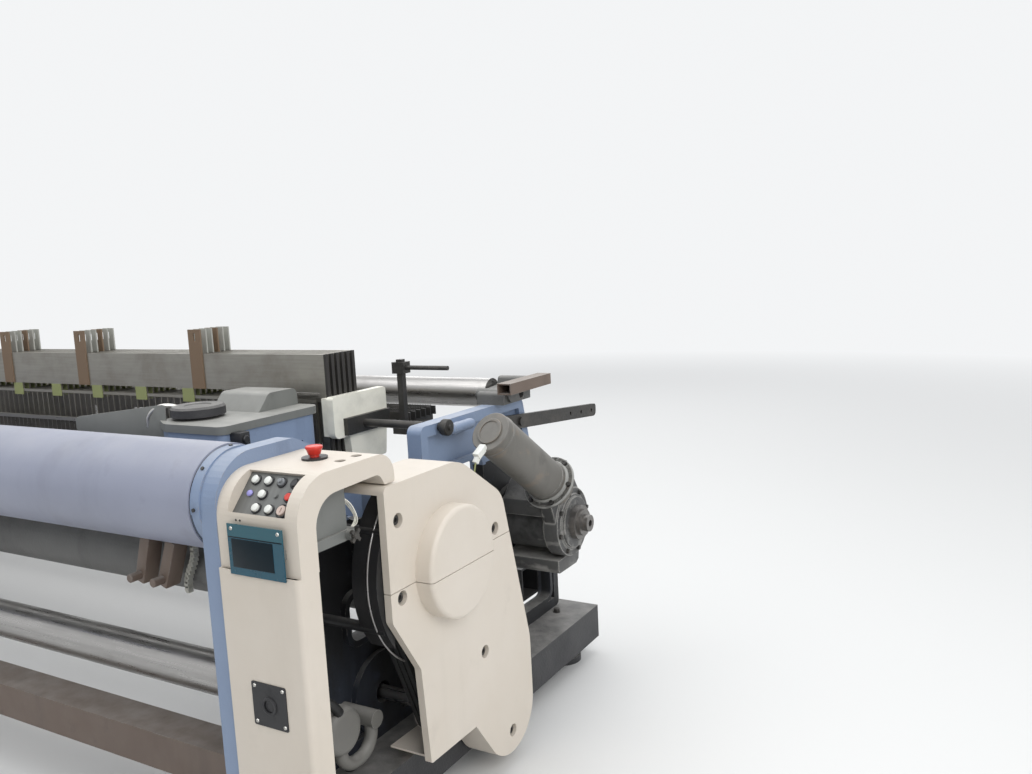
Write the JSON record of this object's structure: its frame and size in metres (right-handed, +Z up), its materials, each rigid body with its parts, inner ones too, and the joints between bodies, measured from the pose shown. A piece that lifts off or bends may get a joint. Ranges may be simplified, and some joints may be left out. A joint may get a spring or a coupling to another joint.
{
  "type": "power loom",
  "caption": "Wide projectile power loom: breast tube, heald frames, sley with reed, cream control column, drive covers, rollers and let-off drive between cast side frames.",
  "frame": {"origin": "on the floor, under the middle of the machine's bounding box", "axes": "+X along the weft to the right of an operator at the cloth side, +Y from the cloth side to the warp side, +Z up"},
  "size_m": [4.85, 1.92, 1.284],
  "materials": {
    "cream_paint": "satin",
    "blue_paint": "semi-gloss, worn",
    "lavender_paint": "semi-gloss",
    "grey_paint": "satin",
    "lid_paint": "satin",
    "black_paint": "satin",
    "cast_grey": "as cast, oily",
    "dark_casting": "painted, oily",
    "bar_aluminium": "matt, worn",
    "steel": "turned",
    "dark_steel": "black oxide",
    "brown_paint": "satin",
    "ivory_plastic": "matt",
    "white_plastic": "gloss",
    "grey_plastic": "gloss",
    "red_plastic": "gloss",
    "black_plastic": "matt",
    "keypad_metal": "anodised",
    "teal_film": "gloss",
    "black_rubber": "matt"
  },
  "bodies": {
    "loom_frame": {"side_frame_right": "blue_paint", "side_frame_left": "blue_paint", "base_right": "dark_casting", "base_left": "dark_casting", "breast_tube": "lavender_paint", "front_beam": "brown_paint", "rear_beam": "black_paint", "flange_bolts": "dark_steel", "column_panel": "cream_paint", "control_arch": "cream_paint", "keypad_plate": "keypad_metal", "display_window": "teal_film", "terminal_box": "lid_paint", "socket_plate": "black_plastic", "estop_ring": "black_plastic", "cover_upper": "cream_paint", "cover_lower": "cream_paint", "left_cover": "cream_paint", "cover_bolts": "dark_steel", "pulley_guard": "black_paint", "main_motor": "grey_paint", "drive_belts": "black_rubber", "oil_pump": "grey_paint", "receiving_unit": "blue_paint", "unit_lid": "lid_paint", "cap_disc": "dark_casting", "picking_unit": "blue_paint", "heald_guides": "ivory_plastic", "guide_brackets": "dark_steel", "backrest_brackets": "cast_grey", "rear_arms": "dark_steel", "letoff_motor": "grey_paint", "letoff_gearbox": "cast_grey", "stop_motion_bars": "dark_steel"},
    "main_shaft": {"flywheel_pulley": "steel"},
    "motor_rotor": {"motor_pulley": "steel"},
    "sley": {"sley": "cast_grey", "reed": "steel"},
    "takeup_roller": {"takeup_roller": "cast_grey"},
    "cloth_roller": {"cloth_roller": "steel"},
    "backrest_roller": {"backrest_roller": "steel"},
    "letoff_hub": {"letoff_hub": "steel"},
    "tension_lever": {"tension_lever": "brown_paint"},
    "projectile": {"projectile": "steel"},
    "estop_button": {"estop_button": "red_plastic"},
    "key_switch": {"key_switch": "red_plastic"},
    "heald_frame_1": {"heald_frame_1": "bar_aluminium"},
    "heald_frame_2": {"heald_frame_2": "bar_aluminium"},
    "heald_frame_3": {"heald_frame_3": "bar_aluminium"},
    "heald_frame_4": {"heald_frame_4": "bar_aluminium"},
    "heald_frame_5": {"heald_frame_5": "bar_aluminium"},
    "heald_frame_6": {"heald_frame_6": "bar_aluminium"},
    "start_button": {"start_button": "white_plastic"},
    "inch_button": {"inch_button": "white_plastic"},
    "lamp_button": {"lamp_button": "grey_plastic"},
    "reverse_button": {"reverse_button": "white_plastic"},
    "pick_button": {"pick_button": "white_plastic"},
    "stop_button": {"stop_button": "red_plastic"},
    "feed_button": {"feed_button": "white_plastic"},
    "reset_button": {"reset_button": "white_plastic"}
  },
  "joints": [
    {"name": "main_shaft_spin", "type": "hinge", "parent": "loom_frame", "child": "main_shaft", "pos_m": [2.105, -0.432, 0.705], "axis": [1, 0, 0], "continuous": true},
    {"name": "motor_spin", "type": "hinge", "parent": "loom_frame", "child": "motor_rotor", "pos_m": [2.105, -0.436, 0.3], "axis": [1, 0, 0], "continuous": true},
    {"name": "sley_rock", "type": "hinge", "parent": "loom_frame", "child": "sley", "pos_m": [0, -0.266, 0.48], "axis": [1, 0, 0], "range_deg": [0, 10]},
    {"name": "takeup_spin", "type": "hinge", "parent": "loom_frame", "child": "takeup_roller", "pos_m": [0, -0.716, 0.72], "axis": [1, 0, 0], "continuous": true},
    {"name": "cloth_roller_spin", "type": "hinge", "parent": "loom_frame", "child": "cloth_roller", "pos_m": [0, -0.726, 0.42], "axis": [1, 0, 0], "continuous": true},
    {"name": "backrest_spin", "type": "hinge", "parent": "loom_frame", "child": "backrest_roller", "pos_m": [0, 0.344, 1.012], "axis": [1, 0, 0], "continuous": true},
    {"name": "letoff_spin", "type": "hinge", "parent": "loom_frame", "child": "letoff_hub", "pos_m": [2.25, 0.304, 0.6], "axis": [1, 0, 0], "continuous": true},
    {"name": "tension_lever_tilt", "type": "hinge", "parent": "loom_frame", "child": "tension_lever", "pos_m": [2.15, 0.388, 1.052], "axis": [-1, 0, 0], "range_deg": [0, 45]},
    {"name": "heald_slide_1", "type": "slide", "parent": "loom_frame", "child": "heald_frame_1", "axis": [0, 0, 1], "range_m": [-0.05, 0.05]},
    {"name": "heald_slide_2", "type": "slide", "parent": "loom_frame", "child": "heald_frame_2", "axis": [0, 0, 1], "range_m": [-0.05, 0.05]},
    {"name": "heald_slide_3", "type": "slide", "parent": "loom_frame", "child": "heald_frame_3", "axis": [0, 0, 1], "range_m": [-0.05, 0.05]},
    {"name": "heald_slide_4", "type": "slide", "parent": "loom_frame", "child": "heald_frame_4", "axis": [0, 0, 1], "range_m": [-0.05, 0.05]},
    {"name": "heald_slide_5", "type": "slide", "parent": "loom_frame", "child": "heald_frame_5", "axis": [0, 0, 1], "range_m": [-0.05, 0.05]},
    {"name": "heald_slide_6", "type": "slide", "parent": "loom_frame", "child": "heald_frame_6", "axis": [0, 0, 1], "range_m": [-0.05, 0.05]},
    {"name": "projectile_flight", "type": "slide", "parent": "loom_frame", "child": "projectile", "axis": [1, 0, 0], "range_m": [0, 3.38]},
    {"name": "estop_press", "type": "slide", "parent": "loom_frame", "child": "estop_button", "axis": [0, 0, -1], "range_m": [0, 0.005]},
    {"name": "start_press", "type": "slide", "parent": "loom_frame", "child": "start_button", "axis": [0, 0.7431, -0.6691], "range_m": [0, 0.003], "stiffness_N_per_m": 300, "springref_m": -0.001},
    {"name": "inch_press", "type": "slide", "parent": "loom_frame", "child": "inch_button", "axis": [0, 0.7431, -0.6691], "range_m": [0, 0.003], "stiffness_N_per_m": 300, "springref_m": -0.001},
    {"name": "lamp_press", "type": "slide", "parent": "loom_frame", "child": "lamp_button", "axis": [0, 0.7431, -0.6691], "range_m": [0, 0.003], "stiffness_N_per_m": 300, "springref_m": -0.001},
    {"name": "reverse_press", "type": "slide", "parent": "loom_frame", "child": "reverse_button", "axis": [0, 0.7431, -0.6691], "range_m": [0, 0.003], "stiffness_N_per_m": 300, "springref_m": -0.001},
    {"name": "pick_press", "type": "slide", "parent": "loom_frame", "child": "pick_button", "axis": [0, 0.7431, -0.6691], "range_m": [0, 0.003], "stiffness_N_per_m": 300, "springref_m": -0.001},
    {"name": "stop_press", "type": "slide", "parent": "loom_frame", "child": "stop_button", "axis": [0, 0.7431, -0.6691], "range_m": [0, 0.003], "stiffness_N_per_m": 300, "springref_m": -0.001},
    {"name": "feed_press", "type": "slide", "parent": "loom_frame", "child": "feed_button", "axis": [0, 0.7431, -0.6691], "range_m": [0, 0.003], "stiffness_N_per_m": 300, "springref_m": -0.001},
    {"name": "reset_press", "type": "slide", "parent": "loom_frame", "child": "reset_button", "axis": [0, 0.7431, -0.6691], "range_m": [0, 0.003], "stiffness_N_per_m": 300, "springref_m": -0.001},
    {"name": "key_turn", "type": "hinge", "parent": "loom_frame", "child": "key_switch", "pos_m": [2.3045, -0.92295, 0.95346], "axis": [0, -0.7431, 0.6691], "range_deg": [-45, 45]}
  ],
  "couplings": [
    {"joint": "motor_spin", "follows": "main_shaft_spin", "ratio": 3.3846}
  ]
}
